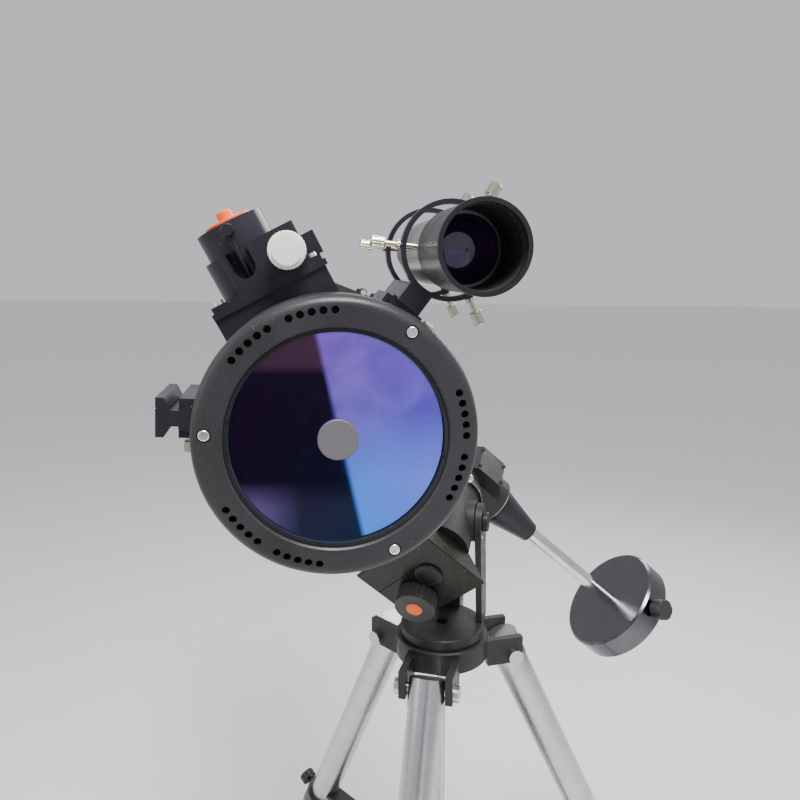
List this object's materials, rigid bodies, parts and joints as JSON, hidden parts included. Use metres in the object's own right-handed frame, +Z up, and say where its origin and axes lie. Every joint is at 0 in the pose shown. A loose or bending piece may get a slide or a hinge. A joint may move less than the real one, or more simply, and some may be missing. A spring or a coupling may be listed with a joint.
{
  "type": "telescope",
  "caption": "Catadioptric Newtonian telescope with side focuser, finder and rings, on a German equatorial head with counterweight and tripod.",
  "frame": {"origin": "on the ground plane under the feet, on the vertical azimuth axis of the mount", "axes": "+Z up, +Y towards the pole end of the polar axis, the open front of the tube looks towards -Y"},
  "size_m": [0.7588, 0.7807, 1.2728],
  "materials": {
    "black_cast": "hammered black enamel on cast aluminium",
    "black_metal": "satin black anodised",
    "white_tube": "gloss white",
    "cover_grey": "satin grey",
    "coated_glass": "violet multicoating",
    "mirror": "aluminised",
    "chrome": "polished",
    "satin_steel": "satin",
    "gunmetal": "satin gunmetal",
    "dark_iron": "turned, satin dark grey",
    "brass_screw": "dull nickel over brass",
    "orange_plastic": "moulded",
    "cream_plastic": "moulded",
    "black_plastic": "moulded",
    "rubber": "moulded",
    "white_plastic": "moulded"
  },
  "bodies": {
    "tripod": {"tripod_head": "black_cast", "tripod_legs": "chrome", "leg_extensions": "chrome", "feet": "rubber", "spreader_tray": "black_cast", "tripod_bolts": "satin_steel", "tripod_knobs": "black_plastic"},
    "azimuth_base": {"azimuth_fork": "black_cast", "latitude_bolts": "black_plastic"},
    "polar_head": {"ra_housing": "black_cast", "drive_box": "black_cast", "polar_cover": "black_plastic"},
    "clutch": {"clutch_lever": "chrome"},
    "hand_wheel": {"drive_wheel": "black_plastic", "wheel_disc": "orange_plastic"},
    "dec_head": {"dec_housing": "black_cast", "dec_setting_circle": "cream_plastic", "dec_cone": "black_cast", "counterweight_bar": "chrome", "bar_end_stop": "chrome", "ra_setting_circle": "cream_plastic", "ra_shaft": "satin_steel"},
    "optical_tube": {"main_tube": "white_tube", "front_cell": "black_cast", "front_cell_screws": "chrome", "corrector_lens": "coated_glass", "corrector_ring": "black_metal", "secondary_cover": "cover_grey", "secondary_holder": "black_metal", "secondary_mirror": "mirror", "primary_mirror": "mirror", "mirror_cell": "black_cast", "collimation_screws": "brass_screw", "rear_cell": "black_cast", "finder_tube": "gunmetal", "finder_dew_shield": "black_metal", "finder_lens": "coated_glass", "finder_eyepiece": "black_metal", "finder_bracket": "black_metal", "finder_shoe": "black_metal", "thumb_screws": "brass_screw", "accessory_shoe": "black_metal", "accessory_adapter": "black_metal", "tube_rings_lower": "black_cast", "tube_fasteners": "chrome", "dovetail_bar": "black_metal", "saddle": "black_cast", "focuser_plates": "black_metal", "focuser_body": "black_metal", "dec_shaft": "satin_steel"},
    "counterweight": {"counterweight": "dark_iron", "counterweight_knob": "black_plastic"},
    "saddle_clamp": {"saddle_knob": "black_plastic"},
    "front_ring": {"ring_upper_front": "black_cast"},
    "rear_ring": {"ring_upper_rear": "black_cast"},
    "drawtube": {"focuser_drawtube": "black_metal", "eyepiece_screw": "brass_screw"},
    "focus_pinion": {"pinion_shaft": "satin_steel", "focus_knobs": "white_plastic"},
    "cap": {"dust_cap": "orange_plastic"}
  },
  "joints": [
    {"name": "azimuth_turn", "type": "hinge", "parent": "tripod", "child": "azimuth_base", "pos_m": [0, 0, 0.72], "axis": [0, 0, 1], "range_deg": [-10, 10]},
    {"name": "latitude_tilt", "type": "hinge", "parent": "azimuth_base", "child": "polar_head", "pos_m": [0, 0, 0.88], "axis": [1, 0, 0], "range_deg": [-5, 10]},
    {"name": "clutch_turn", "type": "hinge", "parent": "polar_head", "child": "clutch", "pos_m": [0, -0.00572, 0.9325], "axis": [0, -0.4226, 0.9063], "range_deg": [-20, 40]},
    {"name": "wheel_turn", "type": "hinge", "parent": "polar_head", "child": "hand_wheel", "pos_m": [-0.01659, -0.07135, 0.8035], "axis": [0, -0.9063, -0.4226], "continuous": true},
    {"name": "ra_turn", "type": "hinge", "parent": "polar_head", "child": "dec_head", "pos_m": [0, 0.0861, 0.92015], "axis": [0, -0.9063, -0.4226], "range_deg": [-100, 46]},
    {"name": "dec_turn", "type": "hinge", "parent": "dec_head", "child": "optical_tube", "pos_m": [0, 0.0861, 0.92015], "axis": [0.6884, 0.3066, -0.6574], "continuous": true},
    {"name": "counterweight_slide", "type": "slide", "parent": "dec_head", "child": "counterweight", "axis": [0.6884, 0.3066, -0.6574], "range_m": [-0.14, 0.03]},
    {"name": "saddle_clamp_turn", "type": "hinge", "parent": "optical_tube", "child": "saddle_clamp", "pos_m": [-0.06251, 0.0572, 1.04657], "axis": [0.6084, 0.2496, 0.7534], "continuous": true},
    {"name": "front_ring_open", "type": "hinge", "parent": "optical_tube", "child": "front_ring", "pos_m": [-0.07299, -0.05268, 1.16842], "axis": [-0.3951, 0.9185, 0.0147], "range_deg": [0, 75]},
    {"name": "rear_ring_open", "type": "hinge", "parent": "optical_tube", "child": "rear_ring", "pos_m": [-0.14805, 0.12184, 1.1712], "axis": [-0.3951, 0.9185, 0.0147], "range_deg": [0, 75]},
    {"name": "focus_turn", "type": "hinge", "parent": "optical_tube", "child": "focus_pinion", "pos_m": [-0.05908, -0.34571, 1.21256], "axis": [-0.3951, 0.9185, 0.0147], "range_deg": [-290, 768]},
    {"name": "focus_slide", "type": "slide", "parent": "optical_tube", "child": "drawtube", "axis": [-0.4103, -0.1907, 0.8918], "range_m": [-0.015, 0.04]},
    {"name": "dust_cap_pull", "type": "slide", "parent": "drawtube", "child": "cap", "axis": [-0.4103, -0.1907, 0.8918], "range_m": [0, 0.05]}
  ],
  "couplings": [
    {"joint": "focus_turn", "follows": "focus_slide", "rad_per_m": 333.33}
  ]
}
